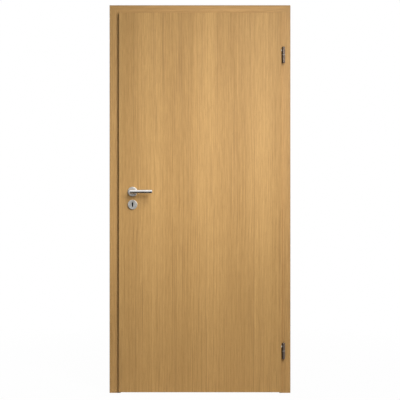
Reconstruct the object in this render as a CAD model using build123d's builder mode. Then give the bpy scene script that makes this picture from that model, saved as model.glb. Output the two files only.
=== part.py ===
"""Rebated interior door: a veneered flush leaf on two lift-off hinges, in a wrap-around wooden frame.

Millimetres, +Z up. The leaf's hinge side faces -Y and its hinges are at +X.
The origin lies on the back of the hinge jamb's lining, at floor level, in the middle of the wall.
"""
import os

from build123d import *

# Leaf: a slab whose front edge overlaps the frame as a lip on three sides.
LEAF_WIDTH = 850.0
LEAF_HEIGHT = 1985.0
LEAF_THICKNESS = 40.0
FACING_THICKNESS = 3.2
LIP_WIDTH = 13.0
LIP_THICKNESS = 15.0
LIP_ROUNDING = 2.6
FLOOR_GAP = 7.0

# Clearances between the leaf and the frame.
EDGE_CLEARANCE = 5.0
LIP_CLEARANCE = 5.0
SEAL_CLEARANCE = 0.5

# Frame: linings across the wall, casings on both wall faces.
WALL_THICKNESS = 140.0
LINING_THICKNESS = 22.0
STOP_WIDTH = 13.0
CASING_THICKNESS = 14.0
CASING_ROUNDING = 4.0
REBATE_ROUNDING = 1.0
JAMB_FACE = 58.0
HEAD_FACE = 51.0
CASING_WEB = 28.0
TONGUE_THICKNESS = 6.0
TONGUE_LENGTH = 20.0
TONGUE_CLEARANCE = 0.2
MITRE_GAP = 0.3

# Seal: a hollow bulb on a foot that is pushed into a groove of the stop.
SEAL_BULB_RADIUS = 3.5
SEAL_BASE = 2.0
SEAL_CHAMBER_RADIUS = 1.8
SEAL_FOOT_WIDTH = 2.8
SEAL_FOOT_DEPTH = 5.0
SEAL_OFFSET = 4.0
SEAL_FIT = 0.1

# Hinges: the frame half carries the pin, the leaf half drops over it.
HINGE_TOP_OFFSET = 220.0
HINGE_SPACING = 1550.0
KNUCKLE_RADIUS = 8.0
KNUCKLE_LENGTH = 43.0
KNUCKLE_ROUNDING = 3.0
KNUCKLE_SIDE_GAP = 4.5
HINGE_PIN_RADIUS = 4.0
HINGE_PIN_LENGTH = 32.0
HINGE_PIN_FIT = 0.05
HINGE_RING_THICKNESS = 1.5
HINGE_RING_GAP = 0.3
LEAF_STUD_RADIUS = 3.0
LEAF_STUD_DEPTH = 30.0
LEAF_STUD_OFFSET = 23.0
STUD_COLLAR_RADIUS = 4.8
STUD_COLLAR_THICKNESS = 2.5
FRAME_TONGUE_WIDTH = 7.0
FRAME_TONGUE_HEIGHT = 30.0
FRAME_TONGUE_DEPTH = 22.0
FRAME_TONGUE_OFFSET = 6.0
HINGE_FIT = 0.1

# Lock: case, faceplate and two bolts in the leaf's lock edge, drawn in as when the lever is pressed.
LEVER_HEIGHT = 1056.0
KEY_DISTANCE = 68.0
BACKSET = 60.0
CASE_THICKNESS = 14.0
CASE_DEPTH = 85.0
CASE_OVER_LEVER = 45.0
CASE_UNDER_KEY = 48.0
CASE_FIT = 0.5
FACEPLATE_WIDTH = 18.0
FACEPLATE_HEIGHT = 235.0
FACEPLATE_THICKNESS = 3.0
BOLT_THICKNESS = 10.0
BOLT_HEIGHT = 30.0
BOLT_LENGTH = 40.0
BOLT_FIT = 0.3
LATCH_SLANT = 8.0
LATCH_SLANT_DEPTH = 6.0
STRIKE_HEIGHT = 190.0
STRIKE_WIDTH = 22.0
STRIKE_THICKNESS = 2.5
STRIKE_CORNER = 4.0
STRIKE_BOLT_FIT = 1.0
STRIKE_POCKET_DEPTH = 20.0

# Lever set: round roses, round-bar grips on necks, and a square spindle.
ROSE_RADIUS = 25.0
ROSE_THICKNESS = 8.0
ROSE_ROUNDING = 1.6
LEVER_RADIUS = 10.5
LEVER_NECK_RADIUS = 9.0
LEVER_REACH = 105.0
LEVER_PROJECTION = 46.0
LEVER_HEEL = 14.0
LEVER_HEEL_ROUNDING = 7.0
LEVER_WELD = 1.5
LEVER_TIP_CHAMFER = 1.2
LEVER_FACE_GAP = 2.0
LEVER_NECK_FIT = 0.3
SPINDLE_SIDE = 8.0
SPINDLE_FIT = 0.1
SPINDLE_GRIP = 28.0
SPINDLE_HOLE_RADIUS = 6.4
ROSE_HOLE_RADIUS = 12.5
KEYHOLE_RADIUS = 4.6
KEYHOLE_SLOT_WIDTH = 7.0
KEYHOLE_SLOT_LENGTH = 14.5
KEYHOLE_WEB = 1.2

# Places across the door. Half widths are measured from the middle of the opening.
HINGE_SIDE = 1
LOCK_SIDE = -1
rebate_half = LEAF_WIDTH / 2 - LIP_WIDTH + EDGE_CLEARANCE
clear_half = rebate_half - STOP_WIDTH
lining_half = clear_half + LINING_THICKNESS
frame_half = rebate_half + JAMB_FACE
leaf_half = LEAF_WIDTH / 2
body_half = leaf_half - LIP_WIDTH
centre_x = -lining_half

# Places through the wall.
wall_front = -WALL_THICKNESS / 2
wall_back = WALL_THICKNESS / 2
casing_front = wall_front - CASING_THICKNESS
casing_back = wall_back + CASING_THICKNESS
lip_back = casing_front - LIP_CLEARANCE
leaf_front = lip_back - LIP_THICKNESS
leaf_back = leaf_front + LEAF_THICKNESS
core_front = leaf_front + FACING_THICKNESS
core_back = leaf_back - FACING_THICKNESS
seal_height = SEAL_BASE + SEAL_BULB_RADIUS
stop_face = leaf_back + SEAL_CLEARANCE + seal_height
lock_plane = (lip_back + leaf_back) / 2

# Heights.
leaf_top = FLOOR_GAP + LEAF_HEIGHT
body_top = leaf_top - LIP_WIDTH
rebate_top = body_top + EDGE_CLEARANCE
clear_top = rebate_top - STOP_WIDTH
lining_top = clear_top + LINING_THICKNESS
frame_top = rebate_top + HEAD_FACE
key_height = LEVER_HEIGHT - KEY_DISTANCE
lock_middle = (LEVER_HEIGHT + key_height) / 2
upper_hinge_z = leaf_top - HINGE_TOP_OFFSET
lower_hinge_z = upper_hinge_z - HINGE_SPACING

# Hinge axis, beside the lip's edge and level with the middle of the lip.
hinge_x = centre_x + HINGE_SIDE * (leaf_half + KNUCKLE_SIDE_GAP + KNUCKLE_RADIUS)
hinge_y = leaf_front + LIP_THICKNESS / 2

# Lock edge and lever axis.
lock_edge_x = centre_x + LOCK_SIDE * body_half
lever_x = lock_edge_x - LOCK_SIDE * BACKSET
strike_x = centre_x + LOCK_SIDE * rebate_half


def block(x, y, z, mode=Mode.ADD):
    """Adds or cuts a box between two places on each axis."""
    middle = tuple((a + b) / 2 for a, b in (x, y, z))
    size = tuple(abs(b - a) for a, b in (x, y, z))
    with Locations(middle):
        Box(*size, mode=mode)


def across(side, near, far):
    """The two x places of a piece on one side of the opening, from two half widths."""
    return (centre_x + side * near, centre_x + side * far)


def round_bar(x, y, z, radius, length, direction, mode=Mode.ADD):
    """Adds or cuts a round bar that starts at a point and runs along a direction."""
    with Locations(Plane((x, y, z), z_dir=direction)):
        Cylinder(radius, length, align=(Align.CENTER, Align.CENTER, Align.MIN), mode=mode)


def mitre(side, inner_half, inner_top):
    """Mitre plane of an upper corner, from its inner to its outer end. The normal points to the head."""
    run = frame_half - inner_half
    rise = frame_top - inner_top
    corner = (centre_x + side * inner_half, 0, inner_top)
    return Plane(corner, x_dir=(0, 1, 0), z_dir=(-side * rise, 0, run))


def keyhole(y_start, y_end):
    """Cuts a keyhole, a round eye over a rounded slot, between two depths."""
    with BuildSketch(Plane((lever_x, y_start, key_height), x_dir=(1, 0, 0), z_dir=(0, 1, 0))) as outline:
        SlotCenterToCenter(KEYHOLE_SLOT_LENGTH, KEYHOLE_SLOT_WIDTH, rotation=90)
        with Locations((0, -KEYHOLE_SLOT_LENGTH / 2)):
            Circle(KEYHOLE_RADIUS)
    extrude(outline.sketch, amount=y_end - y_start, mode=Mode.SUBTRACT)


def save(piece, name):
    """Labels a finished piece and writes its file."""
    piece.part.label = name
    export_step(piece.part, f"parts/{name}.step")


def jamb_lining(side, name):
    """Upright board across the wall, grooved in front for the seal and at the back for the casing."""
    with BuildPart() as lining:
        block(across(side, clear_half, lining_half), (stop_face, wall_back), (0, clear_top))
        seal_half = clear_half + SEAL_OFFSET
        groove = SEAL_FOOT_WIDTH / 2 + SEAL_FIT
        block(
            across(side, seal_half - groove, seal_half + groove),
            (stop_face, stop_face + SEAL_FOOT_DEPTH + SEAL_FIT),
            (0, clear_top),
            Mode.SUBTRACT,
        )
        tongue_half = clear_half + LINING_THICKNESS / 2
        groove = TONGUE_THICKNESS / 2 + TONGUE_CLEARANCE
        block(
            across(side, tongue_half - groove, tongue_half + groove),
            (wall_back - TONGUE_LENGTH - TONGUE_CLEARANCE, wall_back),
            (0, clear_top),
            Mode.SUBTRACT,
        )
    save(lining, name)


def head_lining():
    """Board across the wall over the two jambs, with the same grooves."""
    with BuildPart() as lining:
        width = (centre_x - lining_half, centre_x + lining_half)
        block(width, (stop_face, wall_back), (clear_top, lining_top))
        seal_z = clear_top + SEAL_OFFSET
        groove = SEAL_FOOT_WIDTH / 2 + SEAL_FIT
        block(
            width,
            (stop_face, stop_face + SEAL_FOOT_DEPTH + SEAL_FIT),
            (seal_z - groove, seal_z + groove),
            Mode.SUBTRACT,
        )
        tongue_z = clear_top + LINING_THICKNESS / 2
        groove = TONGUE_THICKNESS / 2 + TONGUE_CLEARANCE
        block(
            width,
            (wall_back - TONGUE_LENGTH - TONGUE_CLEARANCE, wall_back),
            (tongue_z - groove, tongue_z + groove),
            Mode.SUBTRACT,
        )
    save(lining, "head_lining")


def round_face_edges(y_face, along, low_radius, high_radius):
    """Rounds the two long edges of a casing's visible face, first the one at the lower place."""
    long_edges = edges().filter_by(along).filter_by_position(Axis.Y, y_face, y_face)
    by_place = long_edges.sort_by(Axis.X if along == Axis.Z else Axis.Z)
    low, high = by_place[0], by_place[-1]
    fillet(low, radius=low_radius)
    fillet(high, radius=high_radius)


def front_jamb_casing(side, name):
    """Upright rebate casing: a face on the wall and a web that makes the rebate's side."""
    with BuildPart() as casing:
        block(across(side, rebate_half, frame_half), (casing_front, wall_front), (0, frame_top))
        block(across(side, rebate_half, rebate_half + CASING_WEB), (wall_front, stop_face), (0, frame_top))
        if side == HINGE_SIDE:
            round_face_edges(casing_front, Axis.Z, REBATE_ROUNDING, CASING_ROUNDING)
        else:
            round_face_edges(casing_front, Axis.Z, CASING_ROUNDING, REBATE_ROUNDING)
        split(bisect_by=mitre(side, rebate_half, rebate_top).offset(-MITRE_GAP / 2), keep=Keep.BOTTOM)
        if side == HINGE_SIDE:
            for hinge_z in (upper_hinge_z, lower_hinge_z):
                hinge_tongue(hinge_z, HINGE_FIT, Mode.SUBTRACT)
        else:
            strike_recess()
    save(casing, name)


def hinge_tongue(hinge_z, grow, mode=Mode.ADD):
    """Flat tongue that carries a hinge's frame half, from its knuckle into the casing."""
    half = FRAME_TONGUE_WIDTH / 2 + grow
    top = hinge_z - FRAME_TONGUE_OFFSET
    block(
        (hinge_x - half, hinge_x + half),
        (hinge_y, casing_front + FRAME_TONGUE_DEPTH + grow),
        (top - FRAME_TONGUE_HEIGHT - grow, top + grow),
        mode,
    )


def strike_recess():
    """Cuts the strike plate's seat and the two bolt pockets into the rebate's side."""
    y = (casing_front, casing_front + STRIKE_WIDTH)
    z = (lock_middle - STRIKE_HEIGHT / 2, lock_middle + STRIKE_HEIGHT / 2)
    block((strike_x, strike_x + LOCK_SIDE * STRIKE_THICKNESS), y, z, Mode.SUBTRACT)
    bolt_holes(strike_x, strike_x + LOCK_SIDE * STRIKE_POCKET_DEPTH, STRIKE_BOLT_FIT)


def bolt_holes(x_start, x_end, fit):
    """Cuts a rectangular hole for the latch and one for the dead bolt."""
    half = BOLT_THICKNESS / 2 + fit
    for z in (LEVER_HEIGHT, key_height):
        block(
            (x_start, x_end),
            (lock_plane - half, lock_plane + half),
            (z - BOLT_HEIGHT / 2 - fit, z + BOLT_HEIGHT / 2 + fit),
            Mode.SUBTRACT,
        )


def front_head_casing():
    """Head rebate casing, mitred to the jamb casings at both ends."""
    with BuildPart() as casing:
        width = (centre_x - frame_half, centre_x + frame_half)
        block(width, (casing_front, wall_front), (rebate_top, frame_top))
        block(width, (wall_front, stop_face), (rebate_top, rebate_top + CASING_WEB))
        round_face_edges(casing_front, Axis.X, REBATE_ROUNDING, CASING_ROUNDING)
        for side in (HINGE_SIDE, LOCK_SIDE):
            split(bisect_by=mitre(side, rebate_half, rebate_top).offset(MITRE_GAP / 2), keep=Keep.TOP)
    save(casing, "front_head_casing")


def back_jamb_casing(side, name):
    """Upright casing of the far wall face, with a tongue that is pushed into the lining's groove."""
    with BuildPart() as casing:
        block(across(side, clear_half, frame_half), (wall_back, casing_back), (0, frame_top))
        round_face_edges(casing_back, Axis.Z, CASING_ROUNDING, CASING_ROUNDING)
        split(bisect_by=mitre(side, clear_half, clear_top).offset(-MITRE_GAP / 2), keep=Keep.BOTTOM)
        tongue_half = clear_half + LINING_THICKNESS / 2
        block(
            across(side, tongue_half - TONGUE_THICKNESS / 2, tongue_half + TONGUE_THICKNESS / 2),
            (wall_back - TONGUE_LENGTH, wall_back),
            (0, clear_top - TONGUE_CLEARANCE),
        )
    save(casing, name)


def back_head_casing():
    """Head casing of the far wall face, mitred at both ends, with its tongue."""
    with BuildPart() as casing:
        width = (centre_x - frame_half, centre_x + frame_half)
        block(width, (wall_back, casing_back), (clear_top, frame_top))
        round_face_edges(casing_back, Axis.X, CASING_ROUNDING, CASING_ROUNDING)
        for side in (HINGE_SIDE, LOCK_SIDE):
            split(bisect_by=mitre(side, clear_half, clear_top).offset(MITRE_GAP / 2), keep=Keep.TOP)
        tongue_z = clear_top + LINING_THICKNESS / 2
        block(
            (centre_x - clear_half, centre_x + clear_half),
            (wall_back - TONGUE_LENGTH, wall_back),
            (tongue_z - TONGUE_THICKNESS / 2, tongue_z + TONGUE_THICKNESS / 2),
        )
    save(casing, "back_head_casing")


def seal_section():
    """Section of the seal in the plane of the open sketch: x across the stop, y away from it."""
    with Locations((0, SEAL_BASE / 2)):
        Rectangle(2 * SEAL_BULB_RADIUS, SEAL_BASE)
    with Locations((0, SEAL_BASE)):
        Circle(SEAL_BULB_RADIUS)
    with Locations((0, -SEAL_BULB_RADIUS / 2)):
        Rectangle(2 * SEAL_BULB_RADIUS, SEAL_BULB_RADIUS, mode=Mode.SUBTRACT)
    with Locations((0, -SEAL_FOOT_DEPTH / 2)):
        Rectangle(SEAL_FOOT_WIDTH, SEAL_FOOT_DEPTH)
    with Locations((0, SEAL_BASE)):
        Circle(SEAL_CHAMBER_RADIUS, mode=Mode.SUBTRACT)


def jamb_seal(side, name):
    """Upright length of seal, from the floor to the underside of the head seal."""
    seal_x = centre_x + side * (clear_half + SEAL_OFFSET)
    with BuildPart() as seal:
        with BuildSketch(Plane((seal_x, stop_face, 0), x_dir=(-1, 0, 0), z_dir=(0, 0, 1))):
            seal_section()
        extrude(amount=clear_top + SEAL_OFFSET - SEAL_BULB_RADIUS)
        foot = SEAL_FOOT_WIDTH / 2 + SEAL_FIT
        block(
            (seal_x - foot, seal_x + foot),
            (stop_face, stop_face + SEAL_FOOT_DEPTH),
            (clear_top, clear_top + SEAL_OFFSET),
            Mode.SUBTRACT,
        )
    save(seal, name)


def head_seal():
    """Head length of seal, over both jamb seals."""
    end = clear_half + SEAL_OFFSET + SEAL_BULB_RADIUS
    start = (centre_x - end, stop_face, clear_top + SEAL_OFFSET)
    with BuildPart() as seal:
        with BuildSketch(Plane(start, x_dir=(0, 0, 1), z_dir=(1, 0, 0))):
            seal_section()
        extrude(amount=2 * end)
    save(seal, "head_seal")


def strike_plate():
    """Flat plate in the lock jamb's rebate, with a hole for each bolt."""
    middle_y = casing_front + STRIKE_WIDTH / 2
    with BuildPart() as plate:
        with BuildSketch(Plane((strike_x, middle_y, lock_middle), x_dir=(0, 1, 0), z_dir=(LOCK_SIDE, 0, 0))):
            Rectangle(STRIKE_WIDTH, STRIKE_HEIGHT)
        extrude(amount=STRIKE_THICKNESS)
        back_corners = edges().filter_by(Axis.X).group_by(Axis.Y)[-1]
        fillet(back_corners, radius=STRIKE_CORNER)
        bolt_holes(strike_x, strike_x + LOCK_SIDE * STRIKE_THICKNESS, STRIKE_BOLT_FIT)
    save(plate, "strike_plate")


def hinge_frame_half(hinge_z, name):
    """Lower hinge half: knuckle, pin and the tongue that sits in the casing."""
    with BuildPart() as half:
        bottom = hinge_z - KNUCKLE_LENGTH
        round_bar(hinge_x, hinge_y, bottom, KNUCKLE_RADIUS, KNUCKLE_LENGTH, (0, 0, 1))
        fillet(edges().group_by(Axis.Z)[0], radius=KNUCKLE_ROUNDING)
        round_bar(hinge_x, hinge_y, hinge_z, HINGE_PIN_RADIUS, HINGE_PIN_LENGTH, (0, 0, 1))
        hinge_tongue(hinge_z, 0)
    save(half, name)


def hinge_ring(hinge_z, name):
    """Bearing ring between the two knuckles."""
    with BuildPart() as ring:
        round_bar(hinge_x, hinge_y, hinge_z, KNUCKLE_RADIUS, HINGE_RING_THICKNESS, (0, 0, 1))
        bore = HINGE_PIN_RADIUS + HINGE_PIN_FIT
        round_bar(hinge_x, hinge_y, hinge_z, bore, HINGE_RING_THICKNESS, (0, 0, 1), Mode.SUBTRACT)
    save(ring, name)


def hinge_stud(hinge_z, grow, mode=Mode.ADD):
    """Stud from the knuckle into the leaf's edge, or the hole for it."""
    length = KNUCKLE_RADIUS + KNUCKLE_SIDE_GAP + LEAF_STUD_DEPTH + grow
    z = hinge_z + LEAF_STUD_OFFSET
    round_bar(hinge_x, hinge_y, z, LEAF_STUD_RADIUS + grow, length, (-HINGE_SIDE, 0, 0), mode)


def stud_collar(hinge_z):
    """Collar of the stud, against the leaf's edge."""
    edge_x = centre_x + HINGE_SIDE * leaf_half
    z = hinge_z + LEAF_STUD_OFFSET
    round_bar(edge_x, hinge_y, z, STUD_COLLAR_RADIUS, STUD_COLLAR_THICKNESS, (HINGE_SIDE, 0, 0))


def hinge_leaf_half(hinge_z, name):
    """Upper hinge half: a knuckle with a blind bore for the pin, on a stud with a collar."""
    bottom = hinge_z + HINGE_RING_THICKNESS + HINGE_RING_GAP
    top = hinge_z + KNUCKLE_LENGTH
    with BuildPart() as half:
        round_bar(hinge_x, hinge_y, bottom, KNUCKLE_RADIUS, top - bottom, (0, 0, 1))
        fillet(edges().group_by(Axis.Z)[-1], radius=KNUCKLE_ROUNDING)
        hinge_stud(hinge_z, 0)
        stud_collar(hinge_z)
        bore_depth = hinge_z + HINGE_PIN_LENGTH + HINGE_RING_GAP - bottom
        bore = HINGE_PIN_RADIUS + HINGE_PIN_FIT
        round_bar(hinge_x, hinge_y, bottom, bore, bore_depth, (0, 0, 1), Mode.SUBTRACT)
    save(half, name)


def furniture_holes(y_start, y_end):
    """Cuts the round holes behind the lever rose and the key rose between two depths."""
    for z in (LEVER_HEIGHT, key_height):
        round_bar(lever_x, y_start, z, ROSE_HOLE_RADIUS, y_end - y_start, (0, 1, 0), Mode.SUBTRACT)


def front_facing():
    """Veneered sheet of the leaf's hinge side, as large as the whole leaf."""
    with BuildPart() as facing:
        block(
            (centre_x - leaf_half, centre_x + leaf_half),
            (leaf_front, core_front),
            (FLOOR_GAP, leaf_top),
        )
        fillet(faces().sort_by(Axis.Y)[0].edges(), radius=LIP_ROUNDING)
        furniture_holes(leaf_front, core_front)
    save(facing, "leaf_front_facing")


def back_facing():
    """Veneered sheet of the leaf's far side, as large as the leaf's body."""
    with BuildPart() as facing:
        block(
            (centre_x - body_half, centre_x + body_half),
            (core_back, leaf_back),
            (FLOOR_GAP, body_top),
        )
        furniture_holes(core_back, leaf_back)
    save(facing, "leaf_back_facing")


def case_places(grow):
    """X and z places of the lock case, or of its mortise."""
    x_back = lock_edge_x - LOCK_SIDE * (FACEPLATE_THICKNESS + CASE_DEPTH + grow)
    x_front = lock_edge_x - LOCK_SIDE * FACEPLATE_THICKNESS
    return (x_front, x_back), (key_height - CASE_UNDER_KEY - grow, LEVER_HEIGHT + CASE_OVER_LEVER + grow)


def faceplate_outline(grow):
    """Outline of the lock's faceplate in a plane across the lock edge: a bar with round ends."""
    SlotOverall(FACEPLATE_HEIGHT + 2 * grow, FACEPLATE_WIDTH + 2 * grow, rotation=90)


def lock_edge_plane():
    """Plane of the leaf's lock edge at the lock's middle, with its normal into the leaf."""
    return Plane((lock_edge_x, lock_plane, lock_middle), x_dir=(0, 1, 0), z_dir=(-LOCK_SIDE, 0, 0))


def lip_layer():
    """Layer of the core behind the front facing that makes the lip, with the hinge holes."""
    with BuildPart() as layer:
        block(
            (centre_x - leaf_half, centre_x + leaf_half),
            (core_front, lip_back),
            (FLOOR_GAP, leaf_top),
        )
        furniture_holes(core_front, lip_back)
        for hinge_z in (upper_hinge_z, lower_hinge_z):
            hinge_stud(hinge_z, HINGE_FIT, Mode.SUBTRACT)
    save(layer, "leaf_lip_layer")


def leaf_core():
    """Core of the leaf's body, narrower than the lip layer, with the lock's mortise."""
    with BuildPart() as core:
        block(
            (centre_x - body_half, centre_x + body_half),
            (lip_back, core_back),
            (FLOOR_GAP, body_top),
        )
        with BuildSketch(lock_edge_plane()):
            faceplate_outline(HINGE_FIT)
        extrude(amount=FACEPLATE_THICKNESS, mode=Mode.SUBTRACT)
        x, z = case_places(CASE_FIT)
        half = CASE_THICKNESS / 2 + CASE_FIT
        block(x, (lock_plane - half, lock_plane + half), z, Mode.SUBTRACT)
        furniture_holes(lip_back, core_back)
    save(core, "leaf_core")


def lock_faceplate():
    """Steel strip that is let into the leaf's lock edge, with a hole for each bolt."""
    with BuildPart() as plate:
        with BuildSketch(lock_edge_plane()):
            faceplate_outline(0)
        extrude(amount=FACEPLATE_THICKNESS)
        bolt_holes(lock_edge_x, lock_edge_x - LOCK_SIDE * FACEPLATE_THICKNESS, BOLT_FIT)
    save(plate, "lock_faceplate")


def lock_case():
    """Lock case behind the faceplate, with holes for the spindle and the bolts, and a keyhole from each side."""
    x, z = case_places(0)
    y = (lock_plane - CASE_THICKNESS / 2, lock_plane + CASE_THICKNESS / 2)
    with BuildPart() as case:
        block(x, y, z)
        round_bar(lever_x, y[0], LEVER_HEIGHT, SPINDLE_HOLE_RADIUS, CASE_THICKNESS, (0, 1, 0), Mode.SUBTRACT)
        keyhole(y[0], lock_plane - KEYHOLE_WEB / 2)
        keyhole(lock_plane + KEYHOLE_WEB / 2, y[1])
        bolt_holes(x[0], lock_edge_x - LOCK_SIDE * (BOLT_LENGTH + BOLT_FIT), BOLT_FIT)
    save(case, "lock_case")


def bolt(z, name, slanted):
    """One of the lock's bolts, drawn in flush with the faceplate. The latch has a slanted nose."""
    x_end = lock_edge_x - LOCK_SIDE * BOLT_LENGTH
    y = (lock_plane - BOLT_THICKNESS / 2, lock_plane + BOLT_THICKNESS / 2)
    with BuildPart() as body:
        block((lock_edge_x, x_end), y, (z - BOLT_HEIGHT / 2, z + BOLT_HEIGHT / 2))
        if slanted:
            nose = body.edges().filter_by(Axis.Z).group_by(Axis.X)[0 if LOCK_SIDE < 0 else -1]
            chamfer(nose.sort_by(Axis.Y)[-1], length=LATCH_SLANT_DEPTH, length2=LATCH_SLANT)
    save(body, name)


def rose(y_face, outward, z, name, hole):
    """Round cover on a leaf face. Outward is -1 in front and 1 at the back. Hole cuts its middle."""
    with BuildPart() as cover:
        round_bar(lever_x, y_face, z, ROSE_RADIUS, ROSE_THICKNESS, (0, outward, 0))
        outer_rim = edges().filter_by(GeomType.CIRCLE).sort_by(Axis.Y)[0 if outward < 0 else -1]
        fillet(outer_rim, radius=ROSE_ROUNDING)
        hole(y_face, y_face + outward * ROSE_THICKNESS)
    save(cover, name)


def neck_hole(y_start, y_end):
    """Cuts the hole that a lever's neck turns in."""
    low = min(y_start, y_end)
    bore = LEVER_NECK_RADIUS + LEVER_NECK_FIT
    round_bar(lever_x, low, LEVER_HEIGHT, bore, abs(y_end - y_start), (0, 1, 0), Mode.SUBTRACT)


def rose_keyhole(y_start, y_end):
    """Cuts the keyhole through a key rose."""
    keyhole(min(y_start, y_end), max(y_start, y_end))


def lever(y_face, outward, name):
    """Round bar towards the hinges with a domed heel, on a neck straight out of the leaf."""
    y_start = y_face + outward * LEVER_FACE_GAP
    y_grip = y_face + outward * LEVER_PROJECTION
    heel_x = lever_x + LOCK_SIDE * LEVER_HEEL
    heel_end = 0 if LOCK_SIDE < 0 else -1
    tip_end = -1 - heel_end
    with BuildPart() as handle:
        round_bar(heel_x, y_grip, LEVER_HEIGHT, LEVER_RADIUS, LEVER_HEEL + LEVER_REACH, (-LOCK_SIDE, 0, 0))
        fillet(edges().filter_by(GeomType.CIRCLE).sort_by(Axis.X)[heel_end], radius=LEVER_HEEL_ROUNDING)
        chamfer(edges().filter_by(GeomType.CIRCLE).sort_by(Axis.X)[tip_end], length=LEVER_TIP_CHAMFER)
        neck_length = LEVER_PROJECTION - LEVER_FACE_GAP
        round_bar(lever_x, y_start, LEVER_HEIGHT, LEVER_NECK_RADIUS, neck_length, (0, outward, 0))
        fillet(edges().filter_by(GeomType.BSPLINE), radius=LEVER_WELD)
        socket = SPINDLE_SIDE / 2 + SPINDLE_FIT
        block(
            (lever_x - socket, lever_x + socket),
            (y_start, y_face + outward * (SPINDLE_GRIP + SPINDLE_FIT)),
            (LEVER_HEIGHT - socket, LEVER_HEIGHT + socket),
            Mode.SUBTRACT,
        )
    save(handle, name)


def spindle():
    """Square bar through the lock that joins the two levers."""
    half = SPINDLE_SIDE / 2
    with BuildPart() as bar:
        block(
            (lever_x - half, lever_x + half),
            (leaf_front - SPINDLE_GRIP, leaf_back + SPINDLE_GRIP),
            (LEVER_HEIGHT - half, LEVER_HEIGHT + half),
        )
    save(bar, "spindle")


def frame():
    """The pieces that are fixed to the wall."""
    for side, place in ((HINGE_SIDE, "hinge"), (LOCK_SIDE, "lock")):
        jamb_lining(side, f"{place}_jamb_lining")
        front_jamb_casing(side, f"front_{place}_jamb_casing")
        back_jamb_casing(side, f"back_{place}_jamb_casing")
        jamb_seal(side, f"{place}_jamb_seal")
    head_lining()
    front_head_casing()
    back_head_casing()
    head_seal()
    strike_plate()


def hinges():
    """Two lift-off hinges, each with two halves and a bearing ring."""
    for hinge_z, place in ((upper_hinge_z, "upper"), (lower_hinge_z, "lower")):
        hinge_frame_half(hinge_z, f"{place}_hinge_frame_half")
        hinge_ring(hinge_z, f"{place}_hinge_ring")
        hinge_leaf_half(hinge_z, f"{place}_hinge_leaf_half")


def leaf():
    """The pieces that swing: the slab and its lock."""
    front_facing()
    lip_layer()
    leaf_core()
    back_facing()
    lock_faceplate()
    lock_case()
    bolt(LEVER_HEIGHT, "latch_bolt", slanted=True)
    bolt(key_height, "dead_bolt", slanted=False)


def lever_set():
    """Roses on both faces of the leaf, and the two levers on their spindle."""
    for y_face, outward, place in ((leaf_front, -1, "front"), (leaf_back, 1, "back")):
        rose(y_face, outward, LEVER_HEIGHT, f"{place}_lever_rose", neck_hole)
        rose(y_face, outward, key_height, f"{place}_key_rose", rose_keyhole)
        lever(y_face, outward, f"{place}_lever")
    spindle()


os.makedirs("parts", exist_ok=True)
frame()
hinges()
leaf()
lever_set()
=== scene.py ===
"""Looks of a veneered interior door: wood, board, steel and rubber finishes, screws, light and camera.

Metres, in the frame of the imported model. The side that the leaf opens to faces -Y, and the hinges are at +X.
"""
import math

import bmesh
import bpy
from mathutils import Matrix, Vector


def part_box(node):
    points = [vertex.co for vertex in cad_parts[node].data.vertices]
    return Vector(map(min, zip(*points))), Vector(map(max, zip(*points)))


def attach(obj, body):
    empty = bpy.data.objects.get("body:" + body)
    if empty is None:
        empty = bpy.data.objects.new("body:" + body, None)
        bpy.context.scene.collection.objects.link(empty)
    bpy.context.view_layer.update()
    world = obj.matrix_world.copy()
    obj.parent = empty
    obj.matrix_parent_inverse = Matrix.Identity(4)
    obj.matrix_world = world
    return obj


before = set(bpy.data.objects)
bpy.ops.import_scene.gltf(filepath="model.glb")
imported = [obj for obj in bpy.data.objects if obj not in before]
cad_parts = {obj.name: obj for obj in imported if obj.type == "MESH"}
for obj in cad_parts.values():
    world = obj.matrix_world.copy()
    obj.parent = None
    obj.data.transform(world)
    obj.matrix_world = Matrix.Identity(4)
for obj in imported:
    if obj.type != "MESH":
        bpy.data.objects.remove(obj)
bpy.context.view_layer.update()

bl_info = {
    "name": "Veneered interior door",
    "version": (1, 0, 0),
    "blender": (4, 5, 0),
    "location": "3D View > Sidebar > Door",
    "description": "Finishes a rebated interior door with its frame, fittings, light and camera",
    "category": "Object",
}

# Places that the finishes and the fittings share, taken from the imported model.
CASING_LOW, CASING_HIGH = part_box("front_hinge_jamb_casing")
LOCK_CASING_LOW, LOCK_CASING_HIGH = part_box("front_lock_jamb_casing")
FACEPLATE_LOW, FACEPLATE_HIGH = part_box("lock_faceplate")
STRIKE_LOW, STRIKE_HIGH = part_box("strike_plate")
HINGE_LINING_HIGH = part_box("hinge_jamb_lining")[1]
LOCK_LINING_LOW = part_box("lock_jamb_lining")[0]
HEAD_LINING_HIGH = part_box("head_lining")[1]
LEAF_LOW, LEAF_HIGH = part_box("leaf_front_facing")
FRAME_MIDDLE_X = (CASING_HIGH.x + LOCK_CASING_LOW.x) / 2

# Where finishes change: raw board lies deeper than a skin of veneer, and behind the casings' faces.
SKIN = 0.0004
CASING_FACE_DEPTH = 0.0136
# Painted shade on the casings' outer rounded edges: the colour darkens over this width towards an edge, by up
# to this share.
EDGE_WIDTH = 0.005
EDGE_SHADE = 0.6
# Reach past the leaf's edge of the hinges' sleeves, whose pale colour is a painted highlight.
SLEEVE_LENGTH = 0.0026
# Painted shade inside the key roses' bores: black, matt and not metallic within this depth and radius.
KEY_BORE_DEPTH = 0.0032
KEY_BORE_RADIUS = 0.0125
BORE_SHADE = (0.012, 0.012, 0.012, 1.0)

# The leaf's veneer: like sheets side by side, cut one under the other from a log.
SHEETS = 3
SLICE = 0.004
FIGURE_DARK = 0.15
FIGURE_DEPTH = 0.13
CONTRAST = 1.9

# Figure and contrast fade towards the foot: two heights, and the share that is left at each.
FIGURE_FADE = (0.3, 1.3, 0.45, 1.0)
CONTRAST_FADE = (0.2, 1.3, 0.74, 1.0)

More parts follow.
